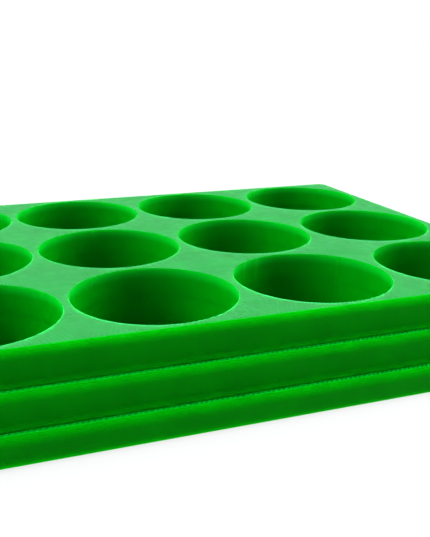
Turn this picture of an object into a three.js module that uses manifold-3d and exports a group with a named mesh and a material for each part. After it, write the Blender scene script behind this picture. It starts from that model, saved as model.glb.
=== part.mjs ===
// Paint rack organizer: a low block of twelve round wells for squat paint bottles.
//
// The rack is a stack of three printed tiers, each wider than the one above, so its
// four sides step outwards towards the bench. Every tier has a rounded upper edge over a
// short upright face, and the two upper tiers have a small hollow foot that runs out onto
// the ledge below. Those two are holed right through; the base tier stands upright on the
// bench and closes the wells with a floor. Short locating pins, set in the lower tier of
// each joint, keep the holes in line, and each upper tier lifts off them.
//
// Millimetres, +Z up. X runs along the long side, Y along the short side, and the
// origin is the centre of the underside.
import * as THREE from "three";
import { mergeVertices } from "three/addons/utils/BufferGeometryUtils.js";
import Module from "manifold-3d";

// ---- driving dimensions -------------------------------------------------------------

const COLUMNS = 4;
const ROWS = 3;
const WELL_PITCH = 39;
const WELL_RADIUS = 18.5;
const WELL_FLOOR = 2; // material left under each well

const TOP_WALL = 2.8; // well edge to the top tier's outer face
const STEP_OUT = 3.3; // each tier's face stands this far outside the one above
const CORNER_RADIUS = 3.5; // of the top tier's upright corners, seen from above

const BASE_HEIGHT = 5.625;
const MIDDLE_HEIGHT = 6.75;
const TOP_HEIGHT = 7;
const EDGE_ROUND = 1.8; // radius of each tier's upper outer edge
const FOOT_HOLLOW = 1.3; // radius of the hollow that runs out onto the ledge below
const FOOT_LIP = 0.15; // height of the upright lip where the hollow ends

const PIN_RADIUS = 3;
const PIN_LENGTH = 5.5;
const PIN_CHAMFER = 0.5;
const PIN_COLUMNS = [-1, 1]; // pins stand between the wells, in pitches from the centre
const PIN_ROWS = [-0.5, 0.5];
const SEAT_CLEARANCE = 0.05; // round the half of a pin that stays put
const SLIP_CLEARANCE = 0.1; // round the half that the upper tier slides on
const PIN_HEADROOM = 0.25; // above the pin in the upper tier's socket

const WELL_SEGMENTS = 48;
const PIN_SEGMENTS = 20;
const CORNER_SEGMENTS = 6;
const ROUND_STEPS = 5;
const HOLLOW_STEPS = 4;
const CUT_MARGIN = 1; // cutters run this far past the faces they open
const WELD_DISTANCE = 1e-4; // corners nearer than this are one corner

// ---- derived sizes ------------------------------------------------------------------

const SEAM_LOWER = BASE_HEIGHT;
const SEAM_UPPER = SEAM_LOWER + MIDDLE_HEIGHT;
const TOTAL_HEIGHT = SEAM_UPPER + TOP_HEIGHT;
const PIN_SEAT = PIN_LENGTH / 2;

const GRID_HALF_X = ((COLUMNS - 1) * WELL_PITCH) / 2;
const GRID_HALF_Y = ((ROWS - 1) * WELL_PITCH) / 2;
const TOP_MARGIN = WELL_RADIUS + TOP_WALL; // grid's outer centres to the top face

const wasm = await Module();
wasm.setup();

// ---- geometry helpers ---------------------------------------------------------------

// A closed three.js geometry as a solid that can be joined and cut.
function solid(geometry) {
  const bare = geometry.clone();
  bare.deleteAttribute("normal");
  bare.deleteAttribute("uv");
  const merged = mergeVertices(bare, WELD_DISTANCE);
  return new wasm.Manifold(
    new wasm.Mesh({
      numProp: 3,
      vertProperties: new Float32Array(merged.attributes.position.array),
      triVerts: new Uint32Array(merged.index.array),
    }),
  );
}

// A solid back as a geometry that three.js can draw.
function geometryOf(body) {
  const mesh = body.getMesh();
  const geometry = new THREE.BufferGeometry();
  geometry.setAttribute("position", new THREE.BufferAttribute(mesh.vertProperties, 3));
  geometry.setIndex(new THREE.BufferAttribute(mesh.triVerts, 1));
  geometry.computeVertexNormals();
  return geometry;
}

// An upright round bar from z = low to z = high, standing on (x, y).
function bar(radius, low, high, x, y, segments) {
  const geometry = new THREE.CylinderGeometry(radius, radius, high - low, segments);
  geometry.rotateX(Math.PI / 2);
  geometry.translate(x, y, (low + high) / 2);
  return solid(geometry);
}

// The corner arcs of a rounded rectangle, as points in order round the outline. The
// outline's straight sides stand `margin` outside the grid of well centres.
function outline(margin, cornerRadius) {
  const points = [];
  const cornerX = GRID_HALF_X + margin - cornerRadius;
  const cornerY = GRID_HALF_Y + margin - cornerRadius;
  const corners = [
    [cornerX, cornerY],
    [-cornerX, cornerY],
    [-cornerX, -cornerY],
    [cornerX, -cornerY],
  ];
  corners.forEach(([x, y], quarter) => {
    for (let i = 0; i <= CORNER_SEGMENTS; i++) {
      const angle = (quarter + i / CORNER_SEGMENTS) * (Math.PI / 2);
      points.push([x + cornerRadius * Math.cos(angle), y + cornerRadius * Math.sin(angle)]);
    }
  });
  return points;
}

// The hollow foot at a tier's lower edge, from the seam up to the upright face, as
// {inset, z}. It stands outside the tier's face, so its insets are negative.
function footProfile(low) {
  const lipAngle = Math.acos(1 - FOOT_LIP / FOOT_HOLLOW);
  const profile = [];
  for (let i = 0; i <= HOLLOW_STEPS; i++) {
    const t = lipAngle + (i / HOLLOW_STEPS) * (Math.PI / 2 - lipAngle);
    profile.push({
      inset: FOOT_HOLLOW * (Math.sin(t) - 1),
      z: low + FOOT_HOLLOW * (1 - Math.cos(t)),
    });
  }
  return [{ inset: profile[0].inset, z: low }, ...profile];
}

// The rounded upper edge, from the upright face in to the top face.
function roundProfile(high) {
  const profile = [];
  for (let i = 0; i <= ROUND_STEPS; i++) {
    const t = (i / ROUND_STEPS) * (Math.PI / 2);
    profile.push({
      inset: EDGE_ROUND * (1 - Math.cos(t)),
      z: high - EDGE_ROUND * (1 - Math.sin(t)),
    });
  }
  return profile;
}

// A slab with rounded upright corners whose outer edge follows the profile. Each profile
// point says how far the edge is drawn in from the face there.
function slab(margin, profile) {
  const cornerRadius = CORNER_RADIUS + margin - TOP_MARGIN;
  const positions = [];
  const triangles = [];
  const rings = profile.map(({ inset, z }) => {
    const ring = outline(margin - inset, cornerRadius - inset);
    ring.forEach(([x, y]) => positions.push(x, y, z));
    return ring;
  });
  const count = rings[0].length;
  for (let level = 0; level + 1 < rings.length; level++) {
    for (let i = 0; i < count; i++) {
      const a = level * count + i;
      const b = level * count + ((i + 1) % count);
      triangles.push(a, b, b + count, a, b + count, a + count);
    }
  }
  const last = (rings.length - 1) * count;
  for (let i = 1; i + 1 < count; i++) {
    triangles.push(0, i + 1, i);
    triangles.push(last, last + i, last + i + 1);
  }
  const geometry = new THREE.BufferGeometry();
  geometry.setAttribute("position", new THREE.Float32BufferAttribute(positions, 3));
  geometry.setIndex(triangles);
  return solid(geometry);
}

// ---- places -------------------------------------------------------------------------

const wellCentres = [];
for (let row = 0; row < ROWS; row++) {
  for (let column = 0; column < COLUMNS; column++) {
    wellCentres.push([
      column * WELL_PITCH - GRID_HALF_X,
      row * WELL_PITCH - GRID_HALF_Y,
    ]);
  }
}

const pinCentres = [];
for (const row of PIN_ROWS) {
  for (const column of PIN_COLUMNS) {
    const side = column < 0 ? "left" : "right";
    const end = row < 0 ? "front" : "rear";
    pinCentres.push({ name: `${end}_${side}`, x: column * WELL_PITCH, y: row * WELL_PITCH });
  }
}

// ---- the tiers ----------------------------------------------------------------------

// Cuts the wells out of a tier, from z = low up past its top.
function cutWells(body, low, high) {
  return wellCentres.reduce(
    (rest, [x, y]) =>
      rest.subtract(bar(WELL_RADIUS, low, high + CUT_MARGIN, x, y, WELL_SEGMENTS)),
    body,
  );
}

// Seats in a tier's top face, which hold the lower half of each pin.
function cutSeats(body, seam) {
  const radius = PIN_RADIUS + SEAT_CLEARANCE;
  return pinCentres.reduce(
    (rest, { x, y }) =>
      rest.subtract(bar(radius, seam - PIN_SEAT, seam + CUT_MARGIN, x, y, PIN_SEGMENTS)),
    body,
  );
}

// Sockets in a tier's underside, which slide over the upper half of each pin.
function cutSockets(body, seam) {
  const radius = PIN_RADIUS + SLIP_CLEARANCE;
  const depth = PIN_SEAT + PIN_HEADROOM;
  return pinCentres.reduce(
    (rest, { x, y }) =>
      rest.subtract(bar(radius, seam - CUT_MARGIN, seam + depth, x, y, PIN_SEGMENTS)),
    body,
  );
}

function baseTier() {
  const profile = [{ inset: 0, z: 0 }, ...roundProfile(SEAM_LOWER)];
  const body = slab(TOP_MARGIN + 2 * STEP_OUT, profile);
  return cutSeats(cutWells(body, WELL_FLOOR, SEAM_LOWER), SEAM_LOWER);
}

function middleTier() {
  const profile = [...footProfile(SEAM_LOWER), ...roundProfile(SEAM_UPPER)];
  const body = slab(TOP_MARGIN + STEP_OUT, profile);
  const holed = cutWells(body, SEAM_LOWER - CUT_MARGIN, SEAM_UPPER);
  return cutSockets(cutSeats(holed, SEAM_UPPER), SEAM_LOWER);
}

function topTier() {
  const profile = [...footProfile(SEAM_UPPER), ...roundProfile(TOTAL_HEIGHT)];
  const body = slab(TOP_MARGIN, profile);
  return cutSockets(cutWells(body, SEAM_UPPER - CUT_MARGIN, TOTAL_HEIGHT), SEAM_UPPER);
}

// A locating pin standing half above the seam, with a chamfer at each end.
function pinGeometry(seam, { x, y }) {
  const half = PIN_LENGTH / 2;
  const tip = PIN_RADIUS - PIN_CHAMFER;
  const profile = [
    new THREE.Vector2(0, -half),
    new THREE.Vector2(tip, -half),
    new THREE.Vector2(PIN_RADIUS, PIN_CHAMFER - half),
    new THREE.Vector2(PIN_RADIUS, half - PIN_CHAMFER),
    new THREE.Vector2(tip, half),
    new THREE.Vector2(0, half),
  ];
  const geometry = new THREE.LatheGeometry(profile, PIN_SEGMENTS);
  geometry.rotateX(Math.PI / 2);
  geometry.translate(x, y, seam);
  return geometry;
}

// ---- the assembly -------------------------------------------------------------------

const GREEN = { color: 0x04a824, roughness: 0.42, metalness: 0 };
const rack = new THREE.Group();

function place(name, geometry) {
  const mesh = new THREE.Mesh(geometry, new THREE.MeshStandardMaterial(GREEN));
  mesh.name = name;
  rack.add(mesh);
}

place("base_tier", geometryOf(baseTier()));
place("middle_tier", geometryOf(middleTier()));
place("top_tier", geometryOf(topTier()));
for (const pin of pinCentres) {
  place(`lower_pin_${pin.name}`, pinGeometry(SEAM_LOWER, pin));
  place(`upper_pin_${pin.name}`, pinGeometry(SEAM_UPPER, pin));
}

export default rack;
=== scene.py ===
# Paint rack organizer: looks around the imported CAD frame.
# The tiers are 3-D printed in green plastic, so each is rebuilt here as a stack of print
# layers on the CAD outline. Lengths are millimetres until a mesh is made, and metres in
# materials, lights and the camera.
import math

import bpy
import numpy as np
from mathutils import Matrix, Vector
from mathutils.geometry import delaunay_2d_cdt


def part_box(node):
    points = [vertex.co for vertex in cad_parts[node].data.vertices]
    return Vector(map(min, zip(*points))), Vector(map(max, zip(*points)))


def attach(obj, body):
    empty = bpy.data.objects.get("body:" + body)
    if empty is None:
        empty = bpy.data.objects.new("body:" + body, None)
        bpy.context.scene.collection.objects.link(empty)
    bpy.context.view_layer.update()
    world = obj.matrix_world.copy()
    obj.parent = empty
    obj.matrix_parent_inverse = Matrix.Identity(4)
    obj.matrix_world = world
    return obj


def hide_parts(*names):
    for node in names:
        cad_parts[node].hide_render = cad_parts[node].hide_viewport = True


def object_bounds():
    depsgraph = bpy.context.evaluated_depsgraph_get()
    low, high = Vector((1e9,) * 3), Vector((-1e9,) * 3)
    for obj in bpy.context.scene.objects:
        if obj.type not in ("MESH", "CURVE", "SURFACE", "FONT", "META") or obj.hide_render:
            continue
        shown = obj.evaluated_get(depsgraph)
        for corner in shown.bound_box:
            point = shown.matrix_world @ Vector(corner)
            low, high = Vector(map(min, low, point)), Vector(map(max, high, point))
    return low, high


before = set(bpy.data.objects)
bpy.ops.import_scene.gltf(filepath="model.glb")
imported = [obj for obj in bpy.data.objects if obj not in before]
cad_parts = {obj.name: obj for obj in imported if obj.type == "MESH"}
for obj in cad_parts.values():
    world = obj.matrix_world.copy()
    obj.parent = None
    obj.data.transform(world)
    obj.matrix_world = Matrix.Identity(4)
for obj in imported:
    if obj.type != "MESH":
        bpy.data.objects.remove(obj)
cad_low, cad_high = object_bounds()
MM = 0.001

# ---- sizes repeated from the CAD ------------------------------------------------------

COLUMNS, ROWS, PITCH = 4, 3, 39.0
WELL_RADIUS = 18.5
WELL_FLOOR = 2.0
EDGE_ROUND = 1.8
FOOT_HOLLOW = 1.3
TOP_CORNER = 3.5          # corner radius of the top tier's face, seen from above
PIN_RADIUS, PIN_CHAMFER = 3.0, 0.5
SEAT_RADIUS, SOCKET_RADIUS = 3.05, 3.1
SEAT_DEPTH, SOCKET_DEPTH = 2.75, 3.0
FAR = 100.0               # stands for a height beyond any rounding or hollow

# ---- print details ---------------------------------------------------------------------

LAYER = 0.3               # layer height
BEAD = 0.392              # width of one extruded line
NOTCH = 0.025             # depth of the groove between two layers
BEAD_SAG = 0.65           # how far a bead's outline follows the true curve, not its middle
SEAM_HEIGHT = 0.06        # ridge where each loop of a well's wall starts and ends
SEAM_HALF_WIDTH = 0.016   # of that ridge, in radians round the well
SEAM_POINTS = (-0.018, -0.011, 0.0003, 0.011, 0.018)
SEAM_SHARPNESS = 0.7
SEAM_ON_RIGHT, SEAM_ON_LEFT = 40, 125  # degrees round the well, by the rack's half
PIT_ROUNDING = 1.5        # how narrow the pits between infill turns are
PIT_SHARE_ON_TOP = 0.35   # depth of the top tier's pits, next to the ledges'
PIT_FLOOR = 0.3           # a pit's deepest part, which gets painted shade, starts here, as a share of its depth
PIT_FROM, PIT_TO = 0.5, 1.05  # where the pits lie, in from an edge
LOOP_EDGE = 0.6           # how far in from an edge the outer loop reaches
RIM_DIP = 0.17            # how far a well's rim sinks between two infill turns
RIM_BEAD = 0.3            # width of the part of a rim that sinks
RIM_LIP = 0.1             # width of the part of a rim that has the loop's finish
RIM_PHASE = 0.4           # shift of the infill turns round the rims
RIM_DROP = 0.2            # the top tier's well walls end this far below the top
RIM_GLOW = 2.8            # depth below the rim to which the painted glow reaches, standing in for light leaking from the top surface
RIM_GLOW_FULL = 0.7       # depth at which that painted glow is full
CORNER_STEPS = 16
WELL_STEPS, HOLE_STEPS, PIN_STEPS = 96, 32, 40
LOOP_STEP = 0.185         # spacing of the points that carry the infill turns
RIM_STEP = LOOP_STEP * 1.2
SHARP_ANGLE = 38          # edges sharper than this, in degrees, aren't smoothed
SNAP = 1e-7               # points closer than this are one point in a cap

WELLS = [((c - (COLUMNS - 1) / 2) * PITCH, (r - (ROWS - 1) / 2) * PITCH)
         for r in range(ROWS) for c in range(COLUMNS)]
PINS = {"front_left": (-PITCH, -PITCH / 2), "front_right": (PITCH, -PITCH / 2),
        "rear_left": (-PITCH, PITCH / 2), "rear_right": (PITCH, PITCH / 2)}


def tier_box(node):
    """Half widths, lowest and highest level of a tier, in mm."""
    low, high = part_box(node)
    return high.x / MM, high.y / MM, low.z / MM, high.z / MM


# The finishes of the plastic, as places in MATERIALS.
SIDE, WALL, TOP, BED, RIM_PAINTED_GLOW, LEDGE, GAP_PAINTED_SHADE = range(7)

# ---- mesh helpers ----------------------------------------------------------------------

class Shell:
    """Collects rings of points and the faces between them."""

    def __init__(self):
        self.points, self.faces, self.finish = [], [], []

    def ring(self, points):
        start = len(self.points)
        self.points.extend(points)
        return np.arange(start, start + len(points))

    def bridge(self, below, above, finish):
        """Quads between two closed rings of the same count.
        finish is one finish, or a list with one for each quad."""
        n = len(below)
        for i in range(n):
            j = (i + 1) % n
            self.faces.append((below[i], below[j], above[j], above[i]))
        self.finish += [finish] * n if isinstance(finish, int) else list(finish)

    def cap(self, loops, finish, up=True):
        """Triangles between closed loops: the first is the outside, the rest are holes.
        Every loop is counterclockwise."""
        ids = np.concatenate(loops)
        owner = np.concatenate([[k] * len(loop) for k, loop in enumerate(loops)])
        flat = [Vector(self.points[i][:2]) for i in ids]
        edges, start = [], 0
        for loop in loops:
            n = len(loop)
            edges += [(start + i, start + (i + 1) % n) for i in range(n)]
            start += n
        _, _, triangles, source, _, _ = delaunay_2d_cdt(flat, edges, [], 2, SNAP)
        for triangle in triangles:
            corners = sorted(source[k][0] for k in triangle)
            a, b, c = ids[corners]
            (ax, ay), (bx, by), (cx, cy) = (self.points[k][:2] for k in (a, b, c))
            turn = (bx - ax) * (cy - ay) - (by - ay) * (cx - ax)
            one_hole = owner[corners[0]] > 0 and len(set(owner[corners])) == 1
            if one_hole and turn > 0:
                continue  # inside the hole, not in a dent of its outline
            self.faces.append((a, b, c) if (turn > 0) == up else (a, c, b))
            self.finish.append(finish)

    def build(self, name, materials):
        mesh = bpy.data.meshes.new(name)
        points = np.array(self.points, float) * MM
        mesh.from_pydata(points.tolist(), [], [tuple(int(i) for i in f) for f in self.faces])
        for material in materials:
            mesh.materials.append(material)
        mesh.polygons.foreach_set("material_index", self.finish)
        mesh.polygons.foreach_set("use_smooth", [True] * len(mesh.polygons))
        mesh.update()
        mesh.set_sharp_from_angle(angle=math.radians(SHARP_ANGLE))
        piece = bpy.data.objects.new(name, mesh)
        bpy.context.scene.collection.objects.link(piece)
        return piece


def outline(half_x, half_y, radius, z):
    """A rounded rectangle, counterclockwise from +X."""
    points = []
    for quarter, (sx, sy) in enumerate(((1, 1), (-1, 1), (-1, -1), (1, -1))):
        for i in range(CORNER_STEPS + 1):
            a = (quarter + i / CORNER_STEPS) * math.pi / 2
            points.append((sx * (half_x - radius) + radius * math.cos(a),
                           sy * (half_y - radius) + radius * math.sin(a), z))
    return points


def circle(radius, centre, z, steps):
    return [(centre[0] + radius * math.cos(2 * math.pi * i / steps),
             centre[1] + radius * math.sin(2 * math.pi * i / steps), z)
            for i in range(steps)]


def edge_inset(above_seam, below_top, footed):
    """How far a layer's outer wall is drawn in from the tier's face at this height."""
    if below_top < EDGE_ROUND:
        rise = EDGE_ROUND - below_top
        return EDGE_ROUND - math.sqrt(EDGE_ROUND ** 2 - rise ** 2)
    if footed and above_seam < FOOT_HOLLOW:
        rise = FOOT_HOLLOW - above_seam
        return math.sqrt(FOOT_HOLLOW ** 2 - rise ** 2) - FOOT_HOLLOW
    return 0.0


# Share of the layer height, and how deep the groove is there, as a share of NOTCH.
BEAD_SECTION = ((0.0, 1.0), (0.16, 0.3), (0.36, 0.0),
                (0.64, 0.0), (0.84, 0.3), (1.0, 1.0))
# The same for the top layer, in mm: its outer bead is open above, so it ends rounder.
TOP_BEAD_SECTION = ((0.0, -0.14), (0.3, -0.06), (0.6, 0.02), (0.8, 0.07), (0.92, 0.12))


def printed_side(shell, half_x, half_y, radius, low, high, footed):
    """The layered outer wall. Returns its lowest and highest ring."""
    count = round((high - low) / LAYER)
    height = (high - low) / count
    first = last = None
    last_inset = None
    for k in range(count):
        z = low + k * height
        middle = edge_inset(z + height / 2 - low, high - z - height / 2, footed)
        topmost = k == count - 1
        for share, notch in TOP_BEAD_SECTION if topmost else BEAD_SECTION:
            level = z + share * height
            if topmost:
                e = middle + notch
            else:  # a bead sags a little towards the true curve
                e = (1 - BEAD_SAG) * middle
                e += BEAD_SAG * edge_inset(level - low, high - level, footed)
                e += notch * NOTCH
            if share == 0.0 and last_inset is not None and abs(e - last_inset) < 1e-6:
                continue
            ring = shell.ring(outline(half_x - e, half_y - e, radius - e, level))
            if last is None:
                first = ring
            else:
                shell.bridge(last, ring, SIDE)
            last, last_inset = ring, e
    return first, last


def infill_pit(x, y):
    """1 between two turns of the diagonal infill, 0 on a turn."""
    across = (x - y) / math.sqrt(2) / (2 * BEAD)
    return np.clip(np.cos(2 * math.pi * across), 0, 1) ** PIT_ROUNDING


# Distance in from an edge, depth of the groove there, and depth of the pits between turns.
EDGE_ROWS = ((0.14, 0.012, 0), (0.2, 0, 0), (0.29, 0.008, 0), (0.38, 0.04, 0),
             (0.44, 0.045, 0.05), (0.54, 0.02, 0.2), (0.66, 0.01, 0.26), (0.82, 0.01, 0.26),
             (0.95, 0, 0.08))
LEDGE_ROWS = EDGE_ROWS[:-1] + ((0.98, 0.01, 0.2), (1.1, 0, 0.04), (1.75, 0, 0))
RIM_ROWS = ((0.03, 0.03, 0), (0.08, 0.01, 0), (0.18, 0, 0), (0.28, 0.012, 0),
            (0.35, 0.045, 0.06), (0.42, 0.045, 0.14), (0.52, 0.01, 0.14), (0.68, 0, 0))


def edge_strip(shell, half_x, half_y, radius, high, first, ledge):
    """The outer loop and infill turns along a tier's top edge. Returns the inmost ring."""
    centres, normals = [], []
    corners = [(sx * (half_x - radius), sy * (half_y - radius))
               for sx, sy in ((1, 1), (-1, 1), (-1, -1), (1, -1))]
    bend = max(CORNER_STEPS, round(radius * math.pi / 2 / LOOP_STEP))
    for k, corner in enumerate(corners):
        after = corners[(k + 1) % 4]
        run = round(math.dist(corner, after) / LOOP_STEP)
        turns = [(k + i / bend) * math.pi / 2 for i in range(bend)]
        turns += [(k + 1) * math.pi / 2] * run
        normals += [(math.cos(a), math.sin(a)) for a in turns]
        centres += [corner] * bend + [(corner[0] + (after[0] - corner[0]) * i / run,
                                       corner[1] + (after[1] - corner[1]) * i / run)
                                      for i in range(run)]
    centres, normals = np.array(centres), np.array(normals)
    last = None
    for t, groove, pit in LEDGE_ROWS if ledge else EDGE_ROWS:
        x, y = (centres + (radius - t) * normals).T
        z = high - groove - pit * (1 if ledge else PIT_SHARE_ON_TOP) * infill_pit(x, y)
        ring = shell.ring(np.stack([x, y, z], 1).tolist())
        if last is None:
            shell.cap([first, ring], LEDGE)
        elif ledge:
            # painted shade: the deepest parts of the ledges' pits take the dark gap finish
            deep = (PIT_FROM < t < PIT_TO) & (infill_pit(x, y) > PIT_FLOOR)
            shell.bridge(last, ring, np.where(deep, GAP_PAINTED_SHADE, LEDGE).tolist())
        else:
            shell.bridge(last, ring, LEDGE if t < LOOP_EDGE else TOP)
        last = ring
    return last


def rim_strip(shell, centre, high, first):
    """The loop and infill turns round a well's rim. Returns the outermost ring."""
    steps = round(2 * math.pi * WELL_RADIUS / RIM_STEP)
    a = np.arange(steps) * 2 * math.pi / steps
    uneven = RIM_DIP * (0.5 + 0.5 * np.sin(2 * a + centre[0] + 2 * centre[1]))
    last = None
    for t, groove, pit in RIM_ROWS:
        x = centre[0] + (WELL_RADIUS + t) * np.cos(a)
        y = centre[1] + (WELL_RADIUS + t) * np.sin(a)
        dip = infill_pit(x + RIM_PHASE, y)
        z = high - groove - np.maximum(pit * dip, (uneven * dip if t < RIM_BEAD else 0))
        ring = shell.ring(np.stack([x, y, z], 1).tolist())
        if last is None:
            shell.cap([ring, first], LEDGE)
        else:
            shell.bridge(ring, last, LEDGE if t < RIM_LIP else TOP)
        last = ring
    return last


def well_wall(shell, centre, low, high, finish):
    """A well's wall, facing inwards. Returns its lowest and highest ring."""
    seam = math.radians(SEAM_ON_RIGHT if centre[0] > 0 else SEAM_ON_LEFT)
    places = sorted([2 * math.pi * i / WELL_STEPS for i in range(WELL_STEPS)]
                    + [seam + offset for offset in SEAM_POINTS])
    rings = []
    for level in (low, high):
        points = []
        for a in places:
            rise = max(0, 1 - abs(a - seam) / SEAM_HALF_WIDTH) ** SEAM_SHARPNESS
            r = WELL_RADIUS - SEAM_HEIGHT * rise
            points.append((centre[0] + r * math.cos(a),
                           centre[1] + r * math.sin(a), level))
        rings.append(shell.ring(points))
    below, above = rings
    shell.bridge(below[::-1], above[::-1], finish)
    return below, above


def blind_hole(shell, centre, radius, mouth, end):
    """A round hole with a flat end, up or down from its mouth. Returns its mouth ring."""
    mouth_ring = shell.ring(circle(radius, centre, mouth, HOLE_STEPS))
    end_ring = shell.ring(circle(radius, centre, end, HOLE_STEPS))
    if end < mouth:
        shell.bridge(end_ring[::-1], mouth_ring[::-1], WALL)
    else:
        shell.bridge(mouth_ring[::-1], end_ring[::-1], WALL)
    shell.cap([end_ring], BED, up=end < mouth)
    return mouth_ring


# ---- materials -------------------------------------------------------------------------

PAINTED_RIM_GLOW = (0.0, 0.29, 0.008)          # painted glow: colour of a well's wall near its rim, standing in for light that leaks in from the top surface
GREEN_REACH = (0.25, 1.0, 0.35)    # how far red, green and blue travel in the plastic
CLOUDS, GLOSS_PATCHES, GRAIN = 160, 420, 3500  # noise scales
CLOUD_STRENGTH = 0.07
GLOSSIER, DULLER = 0.05, 0.07      # how far the roughness strays down and up
NOISE_LOW, NOISE_HIGH = 0.3, 0.7   # the noise's usual range
# colour factors across the infill lines: painted shade in the grooves, painted highlight on
# the lines
GROOVE_PAINTED_SHADE, BEAD_PAINTED_HIGHLIGHT = 0.8, 1.12
LINE_WAVER, LINE_WAVER_SCALE = 0.6, 0.4
WAVE_UNIT = 2 * math.pi / 20       # a wave texture of this scale has one band a metre


def plastic(name, pigment, specular, roughness, lines=None, bump=0.00002,
            speckle=0.00001, depth=0.006, glow_top=None, red_gloss=0.6):
    """Green translucent print plastic. lines is the axis across its extruded lines, "Z" up
    a wall or "X" for the diagonal infill, depth how far light travels in it, glow_top the
    level of a rim under which a glow is painted, for light leaking through, and red_gloss
    how much red its gloss keeps."""
    material = bpy.data.materials.new(name)
    material.use_nodes = True
    nodes, links = material.node_tree.nodes, material.node_tree.links
    shader = nodes["Principled BSDF"]
    shader.inputs["Specular IOR Level"].default_value = specular
    shader.inputs["Subsurface Weight"].default_value = 1.0
    shader.inputs["Subsurface Radius"].default_value = GREEN_REACH
    shader.inputs["Subsurface Scale"].default_value = depth
    shader.inputs["Specular Tint"].default_value = (red_gloss, 1, 1, 1)

    def node(kind, **settings):
        made = nodes.new(kind)
        for key, value in settings.items():
            setattr(made, key, value)
        return made

    place = node("ShaderNodeTexCoord").outputs["Object"]

    def noise(scale, detail):
        made = node("ShaderNodeTexNoise")
        made.inputs["Scale"].default_value = scale
        made.inputs["Detail"].default_value = detail
        links.new(place, made.inputs["Vector"])
        return made.outputs["Fac"]

    def spread(value, low, high):
        made = node("ShaderNodeMapRange")
        made.inputs["From Min"].default_value = NOISE_LOW
        made.inputs["From Max"].default_value = NOISE_HIGH
        made.inputs["To Min"].default_value = low
        made.inputs["To Max"].default_value = high
        links.new(value, made.inputs["Value"])
        return made.outputs["Result"]

    if lines:
        turned = node("ShaderNodeMapping")
        turned.inputs["Rotation"].default_value[2] = math.radians(45 if lines == "X" else 0)
        links.new(place, turned.inputs["Vector"])
        wave = node("ShaderNodeTexWave", wave_type="BANDS", bands_direction=lines)
        spacing = (LAYER if lines == "Z" else BEAD) * MM
        wave.inputs["Scale"].default_value = WAVE_UNIT / spacing
        wave.inputs["Distortion"].default_value = LINE_WAVER
        wave.inputs["Detail Scale"].default_value = LINE_WAVER_SCALE
        links.new(turned.outputs["Vector"], wave.inputs["Vector"])

    # colour: cloudy pigment, a few percent either way
    shade = node("ShaderNodeMix", data_type="RGBA")
    shade.inputs["A"].default_value = (*[c * (1 - CLOUD_STRENGTH) for c in pigment], 1)
    shade.inputs["B"].default_value = (*[c * (1 + CLOUD_STRENGTH) for c in pigment], 1)
    links.new(spread(noise(CLOUDS, 3), 0, 1), shade.inputs["Factor"])
    color = shade.outputs["Result"]
    if lines == "X":  # painted shade in the grooves between infill lines, and a painted highlight on the lines
        groove = node("ShaderNodeMapRange")
        groove.inputs["To Min"].default_value = GROOVE_PAINTED_SHADE
        groove.inputs["To Max"].default_value = BEAD_PAINTED_HIGHLIGHT
        links.new(wave.outputs["Fac"], groove.inputs["Value"])
        painted_line_shade = node("ShaderNodeVectorMath", operation="SCALE")
        links.new(color, painted_line_shade.inputs[0])
        links.new(groove.outputs["Result"], painted_line_shade.inputs["Scale"])
        color = painted_line_shade.outputs["Vector"]
    # painted glow: lighter colour on a wall just under the rim, for light leaking in from
    # the top surface
    if glow_top is not None:
        axes = node("ShaderNodeSeparateXYZ")
        links.new(place, axes.inputs["Vector"])
        painted_glow_mask = node("ShaderNodeMapRange", interpolation_type="SMOOTHSTEP")
        painted_glow_mask.inputs["From Min"].default_value = (glow_top - RIM_GLOW) * MM
        painted_glow_mask.inputs["From Max"].default_value = (glow_top - RIM_GLOW_FULL) * MM
        links.new(axes.outputs["Z"], painted_glow_mask.inputs["Value"])
        lit = node("ShaderNodeMix", data_type="RGBA")
        lit.inputs["B"].default_value = (*PAINTED_RIM_GLOW, 1)
        links.new(painted_glow_mask.outputs["Result"], lit.inputs["Factor"])
        links.new(color, lit.inputs["A"])
        color = lit.outputs["Result"]
    links.new(color, shader.inputs["Base Color"])
    # gloss: uneven from place to place
    links.new(spread(noise(GLOSS_PATCHES, 4), roughness - GLOSSIER, roughness + DULLER),
              shader.inputs["Roughness"])
    # surface: fine speckle, and the extruded lines over it
    grain = node("ShaderNodeBump")
    grain.inputs["Distance"].default_value = speckle
    links.new(noise(GRAIN, 3), grain.inputs["Height"])
    surface = grain
    if lines:
        surface = node("ShaderNodeBump")
        surface.inputs["Distance"].default_value = bump
        links.new(wave.outputs["Fac"], surface.inputs["Height"])
        links.new(grain.outputs["Normal"], surface.inputs["Normal"])
    links.new(surface.outputs["Normal"], shader.inputs["Normal"])
    return material


MATERIALS = [
    plastic("print_side", (0.0, 0.2, 0.0006), 0.03, 0.5),
    plastic("print_wall", (0.0, 0.18, 0.001), 0.08, 0.42, "Z", 0.00003, depth=0.003),
    # partly painted sheen: the green is the plastic's own, while the top's extra blue and
    # red, over the sides', paint part of its pale shine
    plastic("print_top_painted_sheen", (0.01, 0.2, 0.036), 0.8, 0.46, "X", 0.00004, 0.00002,
            red_gloss=0.9),
    plastic("print_bed", (0.0, 0.2, 0.004), 0.4, 0.3, speckle=0.00004),
    # painted glow under the top tier's rims
    plastic("print_rim_painted_glow", (0.0, 0.18, 0.001), 0.08, 0.42, "Z", 0.00003, depth=0.003,
            glow_top=cad_high.z / MM),
    plastic("print_ledge", (0.0, 0.19, 0.006), 0.03, 0.5, depth=0.0015),
    # painted shade for the deep pits between infill turns
    plastic("print_gap_painted_shade", (0.0, 0.06, 0.001), 0.02, 0.6, depth=0.0008),
]

# ---- tiers -----------------------------------------------------------------------------

# how far the first layer of a hollow foot stands out from the face above it
FOOT_REACH = -edge_inset(LAYER / 2, FAR, True)
TOP_FACE_X = tier_box("top_tier")[0] - FOOT_REACH

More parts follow.
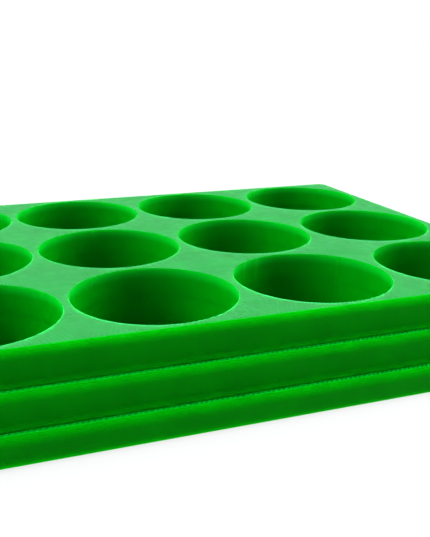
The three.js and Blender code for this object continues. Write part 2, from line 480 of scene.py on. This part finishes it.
for node, body in (("base_tier", "base"), ("middle_tier", "middle"), ("top_tier", "top")):
    lowest, topmost = node == "base_tier", node == "top_tier"
    box_x, box_y, low, high = tier_box(node)
    reach = 0.0 if lowest else FOOT_REACH
    half_x, half_y = box_x - reach, box_y - reach
    radius = TOP_CORNER + half_x - TOP_FACE_X
    shell = Shell()
    first, last = printed_side(shell, half_x, half_y, radius, low, high, not lowest)
    floor_level = WELL_FLOOR if lowest else low
    # the top tier's walls get the finish with the painted glow under the rim
    finish = RIM_PAINTED_GLOW if topmost else WALL
    rim_level = high - RIM_DROP if topmost else high
    walls = [well_wall(shell, centre, floor_level, rim_level, finish)
             for centre in WELLS]
    top_holes = [above for _, above in walls]
    under_holes = []
    if lowest:
        for below, _ in walls:
            shell.cap([below], WALL)
    else:
        under_holes = [below for below, _ in walls]
    if not topmost:
        top_holes += [blind_hole(shell, c, SEAT_RADIUS, high, high - SEAT_DEPTH)
                      for c in PINS.values()]
    if not lowest:
        under_holes += [blind_hole(shell, c, SOCKET_RADIUS, low, low + SOCKET_DEPTH)
                        for c in PINS.values()]
    if topmost:
        top_holes = [rim_strip(shell, centre, high, above)
                     for centre, above in zip(WELLS, top_holes)]
    drawn_in = edge_inset(FAR, (high - low) / round((high - low) / LAYER) / 2, False)
    last = edge_strip(shell, half_x - drawn_in, half_y - drawn_in, radius - drawn_in,
                      high, last, not topmost)
    shell.cap([last] + top_holes, TOP)
    shell.cap([first] + under_holes, BED, up=False)
    piece = shell.build(node + "_print", MATERIALS)
    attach(piece, body)
    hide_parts(node)

# ---- pins ------------------------------------------------------------------------------

for level, body in (("lower", "base"), ("upper", "middle")):
    for place, centre in PINS.items():
        node = f"{level}_pin_{place}"
        low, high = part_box(node)[0].z / MM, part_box(node)[1].z / MM
        shell = Shell()
        rings = [shell.ring(circle(r, centre, z, PIN_STEPS)) for r, z in (
            (PIN_RADIUS - PIN_CHAMFER, low), (PIN_RADIUS, low + PIN_CHAMFER),
            (PIN_RADIUS, high - PIN_CHAMFER), (PIN_RADIUS - PIN_CHAMFER, high))]
        for below, above in zip(rings, rings[1:]):
            shell.bridge(below, above, WALL)
        shell.cap([rings[-1]], TOP)
        shell.cap([rings[0]], BED, up=False)
        piece = shell.build(node + "_print", MATERIALS)
        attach(piece, body)
        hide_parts(node)

# ---- stage, light and camera -----------------------------------------------------------

ROOM_LIGHT = 0.36         # brightness of the room round the white backdrop
FLOOR_GREY = 0.14
# the floor's glow grows from the first value to the second between these distances
GLOW_FROM, GLOW_TO = 0.15, 0.9
GLOW_NEAR, GLOW_FAR = 0.62, 1.0

scene = bpy.context.scene
bpy.ops.mesh.primitive_plane_add(size=8, location=(0, 0, 0))
floor = bpy.context.object
floor.name = "floor"
sweep = bpy.data.materials.new("white_sweep")
sweep.use_nodes = True
nodes, links = sweep.node_tree.nodes, sweep.node_tree.links
shader = nodes["Principled BSDF"]
shader.inputs["Base Color"].default_value = (FLOOR_GREY, FLOOR_GREY, FLOOR_GREY, 1)
shader.inputs["Roughness"].default_value = 0.9
shader.inputs["Emission Color"].default_value = (1, 1, 1, 1)
# the sweep is lit from under and behind, less so near its middle
reach = nodes.new("ShaderNodeVectorMath")
reach.operation = "LENGTH"
links.new(nodes.new("ShaderNodeTexCoord").outputs["Object"], reach.inputs[0])
glow = nodes.new("ShaderNodeMapRange")
for socket, value in (("From Min", GLOW_FROM), ("From Max", GLOW_TO),
                      ("To Min", GLOW_NEAR), ("To Max", GLOW_FAR)):
    glow.inputs[socket].default_value = value
links.new(reach.outputs["Value"], glow.inputs["Value"])
links.new(glow.outputs["Result"], shader.inputs["Emission Strength"])
floor.data.materials.append(sweep)

world = bpy.data.worlds.new("studio")
scene.world = world
world.use_nodes = True
nodes, links = world.node_tree.nodes, world.node_tree.links
# a white backdrop, in a room that is dimmer than it
room = nodes.new("ShaderNodeMapRange")
room.inputs["To Min"].default_value = ROOM_LIGHT
room.inputs["To Max"].default_value = 1.0
links.new(nodes.new("ShaderNodeLightPath").outputs["Is Camera Ray"], room.inputs["Value"])
links.new(room.outputs["Result"], nodes["Background"].inputs["Strength"])
nodes["Background"].inputs["Color"].default_value = (1, 1, 1, 1)


def softbox(name, location, target, size, power, color=(1, 1, 1)):
    """A rectangular lamp of this size in metres and power in watts."""
    light = bpy.data.lights.new(name, "AREA")
    light.shape = "RECTANGLE"
    light.size, light.size_y = size
    light.energy = power
    light.color = color
    lamp = bpy.data.objects.new(name, light)
    scene.collection.objects.link(lamp)
    lamp.visible_glossy = False  # as through crossed polarisers: the plastic shows no lamp
    lamp.location = location
    aim = Vector(target) - Vector(location)
    lamp.rotation_euler = aim.to_track_quat("-Z", "Y").to_euler()


# the overhead's aim is a hair off straight down, so that its turn about itself is settled
softbox("overhead", (0, -0.02, 0.9), (0, -0.0199, 0), (0.9, 0.5), 6)
softbox("left", (-0.95, 0.14, 0.66), (0, 0, 0), (1.0, 0.5), 30)
softbox("right", (0.95, 0.06, 0.62), (0, 0, 0), (1.0, 0.5), 34, (0.88, 0.97, 1))

# The camera was fitted to the wells' rims in the photo.
CAMERA_AZIMUTH, CAMERA_ELEVATION = math.radians(20.33), math.radians(16.47)
CAMERA_ROLL = 0.009
CAMERA_PLACE = Vector((-0.06722, -0.18799, 0.05523 + cad_high.z))
CAMERA_LENS = 50.77
CAMERA_SHIFT = (0.0524, -0.0268)
ahead = Vector((math.sin(CAMERA_AZIMUTH) * math.cos(CAMERA_ELEVATION),
                math.cos(CAMERA_AZIMUTH) * math.cos(CAMERA_ELEVATION),
                -math.sin(CAMERA_ELEVATION)))
right = Vector((math.cos(CAMERA_AZIMUTH), -math.sin(CAMERA_AZIMUTH), 0))
up = right.cross(ahead)
rolled_right = math.cos(CAMERA_ROLL) * right + math.sin(CAMERA_ROLL) * up
rolled_up = math.cos(CAMERA_ROLL) * up - math.sin(CAMERA_ROLL) * right
lens = bpy.data.cameras.new("camera")
lens.lens = CAMERA_LENS
lens.sensor_width = 36
lens.sensor_fit = "AUTO"
lens.shift_x, lens.shift_y = CAMERA_SHIFT
lens.clip_start = 0.005
camera = bpy.data.objects.new("camera", lens)
scene.collection.objects.link(camera)
camera.matrix_world = Matrix.Translation(CAMERA_PLACE) @ Matrix(
    (rolled_right, rolled_up, -ahead)).transposed().to_4x4()
scene.camera = camera
scene.view_settings.view_transform = "Standard"
